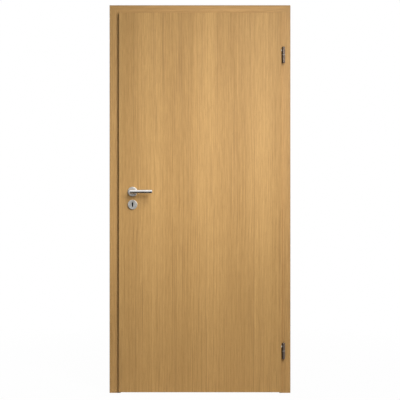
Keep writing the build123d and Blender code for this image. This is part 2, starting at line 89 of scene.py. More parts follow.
# Relief of the surfaces, as a depth and a strength, and the lacquer's gloss.
VENEER_RELIEF = (0.00012, 0.35)
SOFT_RELIEF = (0.00005, 0.3)
METAL_DEPTH = 0.00002
VENEER_GLOSS = 0.30

# Small fasteners.
HEAD_STEPS = 24
HEAD_LIFT = 0.0003
HEAD_RIM = 0.0004
HEAD_TWIST = math.radians(18.0)
GRUB_FROM_ROSE = 0.006
GRUB_SINK = 0.0002
GRUB_RIM = 0.0003
GRUB_DEPTH = 0.0012
GRUB_SOCKET = 0.55
CROSS_ARM = math.radians(30.0)

# Lamps in front, the dark cards that the metal reflects, and the floor, which whitens away from the door.
COLUMN_HEIGHTS = (0.7, 1.2, 1.7, 2.2)
HIGH_HEIGHTS = (3.0, 4.0, 5.2, 6.6)
CARD_COLOUR = (0.03, 0.027, 0.024, 1.0)
FLOOR_SIZE = 9.0
FLOOR_DROP = 0.0005
FLOOR_WHITENS = (0.6, 2.6)
WHITE = (1.0, 1.0, 1.0, 1.0)


def colour_property(name, description, default):
    """A colour that a user can change, in linear light."""
    return bpy.props.FloatVectorProperty(
        name=name, description=description, subtype="COLOR", size=3, min=0.0, max=1.0, default=default
    )


def length_property(name, description, default):
    """A length in metres that a user can change."""
    return bpy.props.FloatProperty(
        name=name, description=description, subtype="DISTANCE", unit="LENGTH", min=0.0, default=default
    )


def number_property(name, description, default):
    """A plain number that a user can change."""
    return bpy.props.FloatProperty(name=name, description=description, min=0.0, default=default)


class DoorFinish(bpy.types.PropertyGroup):
    """Colours of the door's materials."""

    leaf_pale: colour_property("Leaf pale wood", "Lightest wood of the leaf", (0.640, 0.382, 0.138))
    leaf_deep: colour_property("Leaf deep wood", "Darkest wood of the leaf", (0.385, 0.211, 0.064))
    frame_pale: colour_property("Frame pale wood", "Lightest wood of the frame", (0.630, 0.375, 0.138))
    frame_deep: colour_property("Frame deep wood", "Darkest wood of the frame", (0.385, 0.210, 0.066))
    pore: colour_property("Pores", "Colour of the veneer's pores", (0.245, 0.125, 0.040))
    # Painted shade: the colour that the casings' outer rounded edges darken towards.
    edge: colour_property("Veneer edge", "Colour of the veneer on rounded edges", (0.235, 0.150, 0.082))
    board: colour_property("Raw board", "Colour of the board behind the veneer", (0.430, 0.290, 0.150))
    seal: colour_property("Seal", "Colour of the soft seal", (0.150, 0.085, 0.036))
    satin_steel: colour_property("Satin steel", "Colour of the levers and plates", (0.870, 0.858, 0.835))
    rose_steel: colour_property("Rose steel", "Colour of the roses", (0.610, 0.595, 0.560))
    hinge_steel: colour_property("Hinge steel", "Colour of the hinges", (0.150, 0.114, 0.090))
    lock_steel: colour_property("Lock steel", "Colour of the lock's case and bolts", (0.380, 0.370, 0.350))
    # Near-black lock case: partly its black paint, and partly painted shade, kept this dark so that the
    # keyhole reads as shaded.
    lock_case: colour_property("Lock case", "Colour of the blackened lock case", (0.030, 0.029, 0.028))
    # Painted highlight: the sleeves are pale, non-metal plastic, standing for the glint beside the leaf.
    sleeve: colour_property("Hinge sleeve", "Colour of the sleeves beside the leaf", (0.800, 0.770, 0.680))
    ring: colour_property("Bearing ring", "Colour of the hinges' plastic rings", (0.560, 0.545, 0.500))


class DoorFittings(bpy.types.PropertyGroup):
    """Sizes of the small fittings."""

    screw_radius: length_property("Screw head radius", "Radius of the countersunk heads", 0.0038)
    screw_recess: length_property("Cross recess", "Reach of the cross recess from its middle", 0.0021)
    screw_depth: length_property("Recess depth", "Depth of the cross recess", 0.0014)
    screw_inset: length_property("Screw inset", "Distance of a plate's screws from its ends", 0.0125)
    grub_radius: length_property("Grub screw radius", "Radius of the levers' grub screws", 0.0024)


class DoorStage(bpy.types.PropertyGroup):
    """Camera, light and floor."""

    camera_distance: length_property("Camera distance", "From the front casings to the camera", 4.7)
    camera_height: length_property("Camera height", "Height of the level camera", 1.0122)
    view_width: length_property("View width", "Width that the picture shows at the front casings", 2.0990)
    column_power: number_property("Column power", "Power of the lamps in front, together, in watts", 138.0)
    side_power: number_property("Side power", "Power of the lamp on the right in watts", 180.0)
    high_power: number_property("High power", "Power of the lamps high in front, together, in watts", 812.0)
    back_power: number_property("Back power", "Power of the lamp on the far side in watts", 260.0)
    edge_power: number_property("Edge power", "Power of each lamp beside the frame in watts", 300.0)
    lamp_size: length_property("Lamp size", "Radius of the lamps in front, which softens their shadows", 0.30)
    fill: number_property("Fill", "Strength of the light from all round", 0.160)
    floor_colour: colour_property("Floor", "Colour of the pale floor", (0.70, 0.70, 0.69))
    floor_white: number_property("Floor white", "Share of plain white in the floor near the door", 0.975)


def feed(tree, socket, value):
    """Links a socket, or sets it to a plain value."""
    if isinstance(value, bpy.types.NodeSocket):
        tree.links.new(value, socket)
    else:
        socket.default_value = value


def place(tree, kind, settings=None, values=None):
    """Adds a shader node, with its settings and its inputs by name or number."""
    node = tree.nodes.new(kind)
    for key, value in (settings or {}).items():
        setattr(node, key, value)
    for key, value in (values or {}).items():
        feed(tree, node.inputs[key], value)
    return node


def math_node(tree, operation, first, second=0.0, clamp=False):
    """Result of a Math node."""
    settings = {"operation": operation, "use_clamp": clamp}
    return place(tree, "ShaderNodeMath", settings, {0: first, 1: second}).outputs[0]


def vector_math(tree, operation, first, second):
    """Result of a Vector Math node with two vectors."""
    return place(tree, "ShaderNodeVectorMath", {"operation": operation}, {0: first, 1: second}).outputs[0]


def stretch(tree, vector, factors):
    """A vector times a factor on each axis."""
    return vector_math(tree, "MULTIPLY", vector, factors)


def noise(tree, vector, detail, roughness=0.5):
    """Noise of unit scale at a vector."""
    values = {"Vector": vector, "Scale": 1.0, "Detail": detail, "Roughness": roughness}
    return place(tree, "ShaderNodeTexNoise", {"noise_dimensions": "3D"}, values).outputs["Fac"]


def remap(tree, value, low, high, to_low=0.0, to_high=1.0):
    """A value spread from one range to another, held at its ends."""
    values = {"Value": value, "From Min": low, "From Max": high, "To Min": to_low, "To Max": to_high}
    return place(tree, "ShaderNodeMapRange", {"clamp": True}, values).outputs["Result"]


def mix_colour(tree, factor, first, second):
    """One colour over another by a factor."""
    return place(tree, "ShaderNodeMix", {"data_type": "RGBA"}, {0: factor, 6: first, 7: second}).outputs[2]


def mix_number(tree, factor, first, second):
    """One number or the other by a factor."""
    return place(tree, "ShaderNodeMix", values={0: factor, 2: first, 3: second}).outputs[0]


def darker(tree, colour, share):
    """A colour at a share of its brightness."""
    return place(tree, "ShaderNodeVectorMath", {"operation": "SCALE"}, {0: colour, "Scale": share}).outputs[0]


def parts_of(tree, vector):
    """The three numbers of a vector."""
    return place(tree, "ShaderNodeSeparateXYZ", values={0: vector}).outputs


def joined(tree, x=0.0, y=0.0, z=0.0):
    """A vector of three numbers."""
    return place(tree, "ShaderNodeCombineXYZ", values={"X": x, "Y": y, "Z": z}).outputs[0]


def opaque(colour):
    """A colour with full alpha."""
    return (*colour, 1.0)


SOCKET_KINDS = {"vector": "NodeSocketVector", "colour": "NodeSocketColor", "number": "NodeSocketFloat"}
FINISH_OUTPUTS = {"Color": "colour", "Roughness": "number", "Height": "number"}


def new_group(name, inputs, outputs):
    """An empty shader group with named sockets, and its input and output nodes."""
    group = bpy.data.node_groups.new(name, "ShaderNodeTree")
    for direction, sockets in (("INPUT", inputs), ("OUTPUT", outputs)):
        for socket, kind in sockets.items():
            group.interface.new_socket(name=socket, in_out=direction, socket_type=SOCKET_KINDS[kind])
    return group, group.nodes.new("NodeGroupInput").outputs, group.nodes.new("NodeGroupOutput").inputs


def veneer_grain():
    """Straight-grained veneer along Z: broad tone, growth lines, fibres, short flecks and pores."""
    name = "Veneer grain"
    if name in bpy.data.node_groups:
        return bpy.data.node_groups[name]
    inputs = {
        "Vector": "vector",
        "Pale": "colour",
        "Deep": "colour",
        "Pore": "colour",
        "Contrast": "number",
        "Figure": "number",
    }
    group, given, result = new_group(name, inputs, FINISH_OUTPUTS)

    wander = noise(group, stretch(group, given["Vector"], (2.2, 2.2, 1.1)), 2.0)
    sideways = math_node(group, "MULTIPLY", math_node(group, "SUBTRACT", wander, 0.5), 0.030)
    grain = vector_math(group, "ADD", given["Vector"], joined(group, sideways, sideways))

    def streaks(across, along, detail):
        return noise(group, stretch(group, grain, (across, across, along)), detail)

    broad = streaks(9.0, 0.4, 2.0)
    bands = streaks(34.0, 0.6, 1.0)
    lines = streaks(210.0, 0.6, 2.0)
    dashes = streaks(210.0, 14.0, 1.0)
    fibres = streaks(900.0, 11.0, 2.0)
    strokes = remap(group, streaks(170.0, 0.6, 1.0), 0.60, 0.70)
    flecks = remap(group, streaks(330.0, 80.0, 1.0), 0.63, 0.74)
    pores = remap(group, streaks(1500.0, 36.0, 1.0), 0.60, 0.70)

    tone = 0.0
    for part, share in ((broad, 0.04), (bands, 0.13), (lines, 0.52), (dashes, 0.36), (fibres, 0.16)):
        weighed = math_node(group, "MULTIPLY", math_node(group, "SUBTRACT", part, 0.5), share)
        tone = math_node(group, "ADD", weighed, tone)
    spread = math_node(group, "MULTIPLY", tone, given["Contrast"])
    figured = math_node(group, "ADD", spread, given["Figure"])
    level = math_node(group, "ADD", figured, 0.5, clamp=True)
    wood = mix_colour(group, level, given["Deep"], given["Pale"])
    for mask, share in ((strokes, 0.30), (flecks, 0.16), (pores, 0.26)):
        wood = mix_colour(group, math_node(group, "MULTIPLY", mask, share), wood, given["Pore"])
    feed(group, result["Color"], wood)
    feed(group, result["Roughness"], remap(group, fibres, 0.2, 0.8, 0.44, 0.58))
    raised = math_node(group, "MULTIPLY", fibres, 0.4)
    feed(group, result["Height"], math_node(group, "SUBTRACT", raised, pores))
    return group


def particle_board():
    """Raw particle board: flat chips of several tones with fine dust between them."""
    name = "Particle board"
    if name in bpy.data.node_groups:
        return bpy.data.node_groups[name]
    inputs = {"Vector": "vector", "Board": "colour"}
    group, given, result = new_group(name, inputs, FINISH_OUTPUTS)
    bent = noise(group, stretch(group, given["Vector"], (90.0, 90.0, 90.0)), 2.0)
    flat = stretch(group, given["Vector"], (330.0, 330.0, 210.0))
    chips_at = vector_math(group, "ADD", flat, joined(group, bent, bent, bent))
    chips = place(group, "ShaderNodeTexVoronoi", values={"Vector": chips_at, "Scale": 1.0, "Randomness": 1.0})
    tone = place(group, "ShaderNodeSeparateColor", values={"Color": chips.outputs["Color"]}).outputs[0]
    dark = darker(group, given["Board"], 0.62)
    chip_colour = mix_colour(group, tone, dark, given["Board"])
    dust = noise(group, stretch(group, given["Vector"], (1400.0, 1400.0, 1400.0)), 1.0)
    dusted = mix_colour(group, math_node(group, "MULTIPLY", dust, 0.3), chip_colour, dark)
    feed(group, result["Color"], dusted)
    feed(group, result["Roughness"], remap(group, dust, 0.3, 0.7, 0.78, 0.92))
    feed(group, result["Height"], chips.outputs["Distance"])
    return group


def satin_metal():
    """Satin metal: fine brush lines across the first axis of its vector, over soft clouds of handling."""
    name = "Satin metal"
    if name in bpy.data.node_groups:
        return bpy.data.node_groups[name]
    inputs = {"Vector": "vector", "Brush": "vector", "Metal": "colour", "Polish": "number"}
    group, given, result = new_group(name, inputs, FINISH_OUTPUTS)
    brush = noise(group, given["Brush"], 2.0, 0.6)
    clouds = noise(group, stretch(group, given["Vector"], (60.0, 60.0, 60.0)), 2.0)
    worn = darker(group, given["Metal"], 0.86)
    feed(group, result["Color"], mix_colour(group, remap(group, brush, 0.3, 0.7), worn, given["Metal"]))
    streaked = math_node(group, "ADD", given["Polish"], remap(group, brush, 0.25, 0.75, -0.04, 0.04))
    handled = remap(group, clouds, 0.3, 0.7, -0.03, 0.04)
    feed(group, result["Roughness"], math_node(group, "ADD", streaked, handled))
    feed(group, result["Height"], brush)
    return group


def new_material(name):
    """A material with its tree, its Principled shader and its object coordinates."""
    material = bpy.data.materials.new(name)
    material.use_nodes = True
    tree = material.node_tree
    coordinates = place(tree, "ShaderNodeTexCoord").outputs["Object"]
    return material, tree, tree.nodes["Principled BSDF"], coordinates


def use_group(tree, group, values):
    """Places a shared effect in a material and returns its outputs."""
    return place(tree, "ShaderNodeGroup", {"node_tree": group}, values).outputs


def bump(tree, height, distance, strength):
    """Normal of a height, in metres of depth."""
    values = {"Height": height, "Distance": distance, "Strength": strength}
    return place(tree, "ShaderNodeBump", values=values).outputs["Normal"]


def beyond(tree, coordinates, sides):
    """Mask of the places beyond any of some planes. Planes in a list of their own count only together.

    A plane is given as an axis, a place and the side that counts.
    """
    axes = parts_of(tree, coordinates)
    mask = 0.0
    for planes in sides:
        inside = 1.0
        for axis, limit, side in planes if isinstance(planes, list) else [planes]:
            test = math_node(tree, "GREATER_THAN" if side > 0 else "LESS_THAN", axes[axis], limit)
            inside = math_node(tree, "MULTIPLY", test, inside)
        mask = math_node(tree, "MAXIMUM", inside, mask)
    return mask


def painted_edge_shade(tree, coordinates, edges, width):
    """Mask of painted shade that rises over a width up to an edge, given as an axis, its place and its outward
    side.
    """
    axes = parts_of(tree, coordinates)
    mask = 0.0
    for axis, limit, side in edges:
        mask = math_node(tree, "MAXIMUM", remap(tree, axes[axis], limit - side * width, limit), mask)
    return mask


def matched_sheets(tree, coordinates, left, width):
    """Coordinates that start again in each of some like veneer sheets, with the figure across a sheet.

    The third result is the share of the grain's contrast, which fades towards the foot as the figure does.
    """
    x, y, z = parts_of(tree, coordinates)
    across = math_node(tree, "DIVIDE", math_node(tree, "SUBTRACT", x, left), width)
    number = math_node(tree, "FLOOR", across)
    within = math_node(tree, "SUBTRACT", across, number)
    depth = math_node(tree, "ADD", y, math_node(tree, "MULTIPLY", number, SLICE))
    local = joined(tree, math_node(tree, "MULTIPLY", within, width), depth, z)
    turn = math_node(tree, "MULTIPLY", math_node(tree, "SUBTRACT", within, FIGURE_DARK), -math.tau)
    wave = math_node(tree, "MULTIPLY", math_node(tree, "COSINE", turn), -FIGURE_DEPTH)
    figure = math_node(tree, "MULTIPLY", wave, remap(tree, z, *FIGURE_FADE))
    return local, figure, remap(tree, z, *CONTRAST_FADE)


def veneer_material(
    name, wood, along="Z", start=(0.0, 0.0, 0.0), raw=None, board=None, edges=None, edge=None, sheets=None
):
    """Lacquered veneer with its grain along an axis, with painted shade on rounded edges, and bare beyond raw
    planes.
    """
    pale, deep, pore = wood
    material, tree, shader, coordinates = new_material(name)
    turn = (0.0, math.radians(90.0), 0.0) if along == "X" else (0.0, 0.0, 0.0)
    grain_at, figure, contrast = coordinates, 0.0, CONTRAST
    if sheets:
        grain_at, figure, fade = matched_sheets(tree, coordinates, *sheets)
        contrast = math_node(tree, "MULTIPLY", fade, CONTRAST)
    placing = {"Vector": grain_at, "Location": start, "Rotation": turn}
    values = {
        "Vector": place(tree, "ShaderNodeMapping", values=placing).outputs[0],
        "Pale": opaque(pale),
        "Deep": opaque(deep),
        "Pore": opaque(pore),
        "Contrast": contrast,
        "Figure": figure,
    }
    veneer = use_group(tree, veneer_grain(), values)
    colour, roughness, height = veneer["Color"], veneer["Roughness"], veneer["Height"]
    # Painted shade: the colour darkens towards the given edges.
    if edges:
        shade = math_node(tree, "MULTIPLY", painted_edge_shade(tree, coordinates, edges, EDGE_WIDTH), EDGE_SHADE)
        colour = mix_colour(tree, shade, colour, opaque(edge))
    if raw:
        mask = beyond(tree, coordinates, raw)
        bare = use_group(tree, particle_board(), {"Vector": coordinates, "Board": opaque(board)})
        colour = mix_colour(tree, mask, colour, bare["Color"])
        roughness = mix_number(tree, mask, roughness, bare["Roughness"])
        height = mix_number(tree, mask, height, bare["Height"])
    feed(tree, shader.inputs["Base Color"], colour)
    feed(tree, shader.inputs["Roughness"], roughness)
    feed(tree, shader.inputs["Normal"], bump(tree, height, *VENEER_RELIEF))
    shader.inputs["Specular IOR Level"].default_value = VENEER_GLOSS
    return material


def metal_material(
    name, metal, polish, brush=(1400.0, 90.0, 90.0), around=None, bore_shade=False, sleeve=None, relief=0.25
):
    """Satin metal. Brush lines cross the first axis, or run in circles around a point, about Y.

    Where the piece has a bore, the inside of the bore around that point gets painted shade, black and matt,
    short of its mouths.
    A sleeve is a place on X and the colour of the plastic below it: real sleeves, whose pale, non-metal colour
    is a painted highlight.
    """
    material, tree, shader, coordinates = new_material(name)
    if around is None:
        lines = stretch(tree, coordinates, brush)
    else:
        arm = vector_math(tree, "SUBTRACT", coordinates, around)
        flat = stretch(tree, arm, (1.0, 0.0, 1.0))
        radius = place(tree, "ShaderNodeVectorMath", {"operation": "LENGTH"}, {0: flat}).outputs["Value"]
        lines = joined(tree, math_node(tree, "MULTIPLY", radius, brush[0]))
    values = {"Vector": coordinates, "Brush": lines, "Metal": opaque(metal), "Polish": polish}
    satin = use_group(tree, satin_metal(), values)
    colour, roughness = satin["Color"], satin["Roughness"]
    shader.inputs["Metallic"].default_value = 1.0
    # Painted shade inside the bore.
    if bore_shade:
        depth = math_node(tree, "ABSOLUTE", parts_of(tree, arm)[1])
        within = math_node(tree, "LESS_THAN", depth, KEY_BORE_DEPTH)
        inside = math_node(tree, "MULTIPLY", within, math_node(tree, "LESS_THAN", radius, KEY_BORE_RADIUS))
        colour = mix_colour(tree, inside, colour, BORE_SHADE)
        roughness = math_node(tree, "MAXIMUM", roughness, inside)
        feed(tree, shader.inputs["Metallic"], math_node(tree, "SUBTRACT", 1.0, inside))
    # Painted highlight: pale plastic below the sleeve's place on X.
    if sleeve:
        limit, plastic = sleeve
        beside = beyond(tree, coordinates, [(0, limit, -1)])
        colour = mix_colour(tree, beside, colour, opaque(plastic))
        feed(tree, shader.inputs["Metallic"], math_node(tree, "SUBTRACT", 1.0, beside))
    feed(tree, shader.inputs["Base Color"], colour)
    feed(tree, shader.inputs["Roughness"], roughness)
    feed(tree, shader.inputs["Normal"], bump(tree, satin["Height"], METAL_DEPTH, relief))
    return material


def soft_material(name, colour, roughness, grain_scale):
    """Matt rubber or plastic with a fine moulded grain."""
    material, tree, shader, coordinates = new_material(name)
    grain = noise(tree, stretch(tree, coordinates, (grain_scale, grain_scale, grain_scale)), 3.0)
    dark = opaque([channel * 0.78 for channel in colour])
    shade = mix_colour(tree, remap(tree, grain, 0.3, 0.7), dark, opaque(colour))
    feed(tree, shader.inputs["Base Color"], shade)
    feed(tree, shader.inputs["Roughness"], remap(tree, grain, 0.3, 0.7, roughness - 0.06, roughness + 0.06))
    feed(tree, shader.inputs["Normal"], bump(tree, grain, *SOFT_RELIEF))
    return material


def finish_nodes(material, *nodes):
    """Puts a material on CAD nodes."""
    for node in nodes:
        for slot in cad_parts[node].material_slots:
            slot.material = material


def middle(node):
    """Middle of a CAD node's box."""
    low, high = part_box(node)
    return (low + high) / 2


def new_object(name, shape, material):
    """Makes an object of a finished bmesh and puts it in the scene."""
    mesh = bpy.data.meshes.new(name)
    shape.to_mesh(mesh)
    shape.free()
    mesh.materials.append(material)
    made = bpy.data.objects.new(name, mesh)
    bpy.context.scene.collection.objects.link(made)
    return made


def shown_piece(name, shape, material, body):
    """Makes an object of a finished bmesh, in its place, on a body."""
    bmesh.ops.recalc_face_normals(shape, faces=shape.faces)
    piece = new_object(name, shape, material)
    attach(piece, body)


def cross_reach(angle, reach):
    """Distance from the middle of a cross recess to its edge at an angle."""
    quarter = math.radians(90.0)
    folded = abs((angle + quarter / 2) % quarter - quarter / 2)
    half_width = reach * math.tan(CROSS_ARM / 2)
    return min(reach / math.cos(folded), half_width / max(math.sin(folded), 1e-6))


def hexagon_reach(angle, reach):
    """Distance from the middle of a hexagon socket to its edge at an angle."""
    sixth = math.radians(60.0)
    folded = (angle + sixth / 2) % sixth - sixth / 2
    return reach * math.cos(sixth / 2) / math.cos(folded)


def rim_of(geometry):
    """Vertices of some extruded geometry, and the edges that lie between them."""
    verts = [item for item in geometry if isinstance(item, bmesh.types.BMVert)]
    edges = [item for item in geometry if isinstance(item, bmesh.types.BMEdge)]
    return verts, [edge for edge in edges if all(vert in verts for vert in edge.verts)]


def screw_head(radius, rim, reach, depth, edge_at):
    """Screw head that faces +Z at the origin: a bevelled disc with a recess, whose edge a function gives."""
    shape = bmesh.new()
    circle = bmesh.ops.create_circle
    outer = circle(shape, cap_ends=False, radius=radius - rim, segments=HEAD_STEPS)["verts"]
    inner = circle(shape, cap_ends=False, radius=reach, segments=HEAD_STEPS)["verts"]
    for vert in inner:
        vert.co = vert.co.normalized() * edge_at(math.atan2(vert.co.y, vert.co.x), reach)
    outer_edges = [edge for edge in shape.edges if edge.verts[0] in outer]
    inner_edges = [edge for edge in shape.edges if edge.verts[0] in inner]
    bmesh.ops.bridge_loops(shape, edges=outer_edges + inner_edges)
    floor, floor_edges = rim_of(bmesh.ops.extrude_edge_only(shape, edges=inner_edges)["geom"])
    bmesh.ops.translate(shape, verts=floor, vec=(0.0, 0.0, -depth))
    bmesh.ops.contextual_create(shape, geom=floor_edges)
    skirt, skirt_edges = rim_of(bmesh.ops.extrude_edge_only(shape, edges=outer_edges)["geom"])
    for vert in skirt:
        vert.co *= radius / (radius - rim)
        vert.co.z -= rim
    bmesh.ops.contextual_create(shape, geom=skirt_edges)
    return shape


def facing(shape, point, direction, twist=0.0):
    """Turns a shape that faces +Z to a direction, and moves it to a point."""
    turn = Vector(direction).to_track_quat("Z", "Y").to_matrix().to_4x4()
    moved = Matrix.Translation(point) @ turn @ Matrix.Rotation(twist, 4, "Z")
    bmesh.ops.transform(shape, matrix=moved, verts=shape.verts)


class DOOR_OT_finish_leaf(bpy.types.Operator):
    """Finishes the leaf's facings, lip layer and core"""

    bl_idname = "door.finish_leaf"
    bl_label = "Finish the leaf"

    def execute(self, context):
        finish = context.scene.door_finish
        wood = (finish.leaf_pale, finish.leaf_deep, finish.pore)
        foot = [(2, LEAF_LOW.z + SKIN, -1)]
        sheets = (LEAF_LOW.x, (LEAF_HIGH.x - LEAF_LOW.x) / SHEETS)
        front = veneer_material("Leaf front veneer", wood, start=(0.31, 0.0, 0.4), sheets=sheets)
        back = veneer_material("Leaf back veneer", wood, start=(1.7, 0.3, 1.1), sheets=sheets)
        edge = veneer_material("Leaf edge veneer", wood, start=(2.9, 0.8, 0.2), raw=foot, board=finish.board)
        finish_nodes(front, "leaf_front_facing")
        finish_nodes(back, "leaf_back_facing")
        finish_nodes(edge, "leaf_lip_layer", "leaf_core")
        return {"FINISHED"}


class DOOR_OT_finish_frame(bpy.types.Operator):
    """Finishes the linings and casings, with raw board where they meet the wall"""

    bl_idname = "door.finish_frame"
    bl_label = "Finish the frame"

    def execute(self, context):
        finish = context.scene.door_finish
        wood = (finish.frame_pale, finish.frame_deep, finish.pore)
        floor = (2, SKIN, -1)
        front_wall = (1, CASING_LOW.y + CASING_FACE_DEPTH, 1)
        hinge_wall = [front_wall, (0, CASING_LOW.x + SKIN, 1)]
        lock_wall = [front_wall, (0, LOCK_CASING_HIGH.x - SKIN, -1)]
        head_wall = [front_wall, (2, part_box("front_head_casing")[0].z + SKIN, 1)]
        back_wall = (1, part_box("back_hinge_jamb_casing")[1].y - CASING_FACE_DEPTH, -1)
        # Outer edges of the casings, which get painted shade.
        hinge_side = [(0, CASING_HIGH.x, 1)]
        lock_side = [(0, LOCK_CASING_LOW.x, -1)]
        top = [(2, CASING_HIGH.z, 1)]
        boards = {
            "front_hinge_jamb_casing": ("Z", (4.1, 0.2, 0.7), [hinge_wall, floor], hinge_side),
            "front_lock_jamb_casing": ("Z", (5.3, 0.5, 0.1), [lock_wall, floor], lock_side),
            "front_head_casing": ("X", (0.4, 6.2, 0.9), [head_wall], top),
            "back_hinge_jamb_casing": ("Z", (7.7, 0.1, 0.3), [back_wall, floor], hinge_side),
            "back_lock_jamb_casing": ("Z", (8.2, 0.6, 0.8), [back_wall, floor], lock_side),
            "back_head_casing": ("X", (0.2, 9.4, 0.5), [back_wall], top),
            "hinge_jamb_lining": ("Z", (10.6, 0.4, 0.2), [(0, HINGE_LINING_HIGH.x - SKIN, 1), floor], None),
            "lock_jamb_lining": ("Z", (11.9, 0.7, 0.6), [(0, LOCK_LINING_LOW.x + SKIN, -1), floor], None),
            "head_lining": ("X", (0.6, 12.3, 0.1), [(2, HEAD_LINING_HIGH.z - SKIN, 1)], None),
        }
        for node, (along, start, raw, edges) in boards.items():
            name = node.replace("_", " ").capitalize() + " veneer"
            material = veneer_material(name, wood, along, start, raw, finish.board, edges, edge=finish.edge)
            finish_nodes(material, node)
        return {"FINISHED"}


class DOOR_OT_finish_seals(bpy.types.Operator):
    """Finishes the soft seals in the frame's stop"""

    bl_idname = "door.finish_seals"
    bl_label = "Finish the seals"

    def execute(self, context):
        rubber = soft_material("Seal rubber", context.scene.door_finish.seal, 0.62, 900.0)
        finish_nodes(rubber, "hinge_jamb_seal", "lock_jamb_seal", "head_seal")
        return {"FINISHED"}


class DOOR_OT_finish_hinges(bpy.types.Operator):
    """Finishes the hinges and their bearing rings"""

    bl_idname = "door.finish_hinges"
    bl_label = "Finish the hinges"

    def execute(self, context):
        finish = context.scene.door_finish
        brush = (90.0, 90.0, 1400.0)
        sleeve = (LEAF_HIGH.x + SLEEVE_LENGTH, finish.sleeve)
        steel = metal_material("Hinge steel", finish.hinge_steel, 0.42, brush)
        leaf_steel = metal_material("Hinge leaf steel", finish.hinge_steel, 0.42, brush, sleeve=sleeve)
        ring = soft_material("Hinge ring plastic", finish.ring, 0.42, 700.0)
        for hinge in ("upper_hinge", "lower_hinge"):
            finish_nodes(steel, f"{hinge}_frame_half")
            finish_nodes(leaf_steel, f"{hinge}_leaf_half")
            finish_nodes(ring, f"{hinge}_ring")
        return {"FINISHED"}


class DOOR_OT_finish_levers(bpy.types.Operator):
    """Finishes the levers and roses, and adds the levers' grub screws"""

    bl_idname = "door.finish_levers"
    bl_label = "Finish the lever set"

    def execute(self, context):
        finish = context.scene.door_finish
        fittings = context.scene.door_fittings
        brush = (1300.0, 70.0, 70.0)
        lever_steel = metal_material("Lever steel", finish.satin_steel, 0.19, brush, relief=0.08)
        dark_steel = metal_material("Grub screw steel", finish.hinge_steel, 0.35, (900.0, 900.0, 900.0))
        for side in ("front", "back"):
            finish_nodes(lever_steel, f"{side}_lever")
            for rose in ("lever", "key"):
                node = f"{side}_{rose}_rose"
                name = f"{side} {rose} rose steel".capitalize()
                # Key roses get painted shade in their keyhole's bore.
                bore_shade = rose == "key"
                steel = metal_material(name, finish.rose_steel, 0.32, around=middle(node), bore_shade=bore_shade)
                finish_nodes(steel, node)
            self.add_grub_screw(side, fittings, dark_steel)
        return {"FINISHED"}

    def add_grub_screw(self, side, fittings, steel):
        """Socket screw in the underside of a lever's neck, just outside its rose."""
        rose_low, rose_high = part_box(f"{side}_lever_rose")
        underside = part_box(f"{side}_lever")[0].z
        y = rose_low.y - GRUB_FROM_ROSE if side == "front" else rose_high.y + GRUB_FROM_ROSE
        point = Vector(((rose_low.x + rose_high.x) / 2, y, underside + GRUB_SINK))
        radius = fittings.grub_radius
        shape = screw_head(radius, GRUB_RIM, radius * GRUB_SOCKET, GRUB_DEPTH, hexagon_reach)
        facing(shape, point, (0.0, 0.0, -1.0))
        shown_piece(f"{side}_lever_grub_screw", shape, steel, "handle")


class DOOR_OT_finish_lock(bpy.types.Operator):
    """Finishes the lock and the strike plate, and adds their screws"""

    bl_idname = "door.finish_lock"
    bl_label = "Finish the lock"

    def execute(self, context):
        finish = context.scene.door_finish
        fittings = context.scene.door_fittings
        plate = metal_material("Lock plate steel", finish.satin_steel, 0.30, (90.0, 1400.0, 30.0))
        bolts = metal_material("Lock bolt steel", finish.lock_steel, 0.28, (60.0, 900.0, 900.0))
        # The lock case's near-black is paint and also painted shade seen through the keyhole.
        case = soft_material("Lock case paint", finish.lock_case, 0.75, 500.0)
        screw = metal_material("Plate screw steel", finish.lock_steel, 0.26, (700.0, 700.0, 700.0))
        finish_nodes(plate, "lock_faceplate", "strike_plate")
        finish_nodes(case, "lock_case")
        finish_nodes(bolts, "latch_bolt", "dead_bolt", "spindle")
        self.add_screws("faceplate", FACEPLATE_LOW, FACEPLATE_HIGH, -1.0, "leaf", fittings, screw)
        self.add_screws("strike", STRIKE_LOW, STRIKE_HIGH, 1.0, "frame", fittings, screw)
        return {"FINISHED"}

    def add_screws(self, name, low, high, outward, body, fittings, steel):
        """One countersunk screw near each end of a plate, whose face points outward along X."""
        x = low.x - HEAD_LIFT if outward < 0 else high.x + HEAD_LIFT
        recess, depth = fittings.screw_recess, fittings.screw_depth
        for end, z in (("upper", high.z - fittings.screw_inset), ("lower", low.z + fittings.screw_inset)):
            shape = screw_head(fittings.screw_radius, HEAD_RIM, recess, depth, cross_reach)
            facing(shape, (x, (low.y + high.y) / 2, z), (outward, 0.0, 0.0), HEAD_TWIST)
            shown_piece(f"{end}_{name}_screw", shape, steel, body)


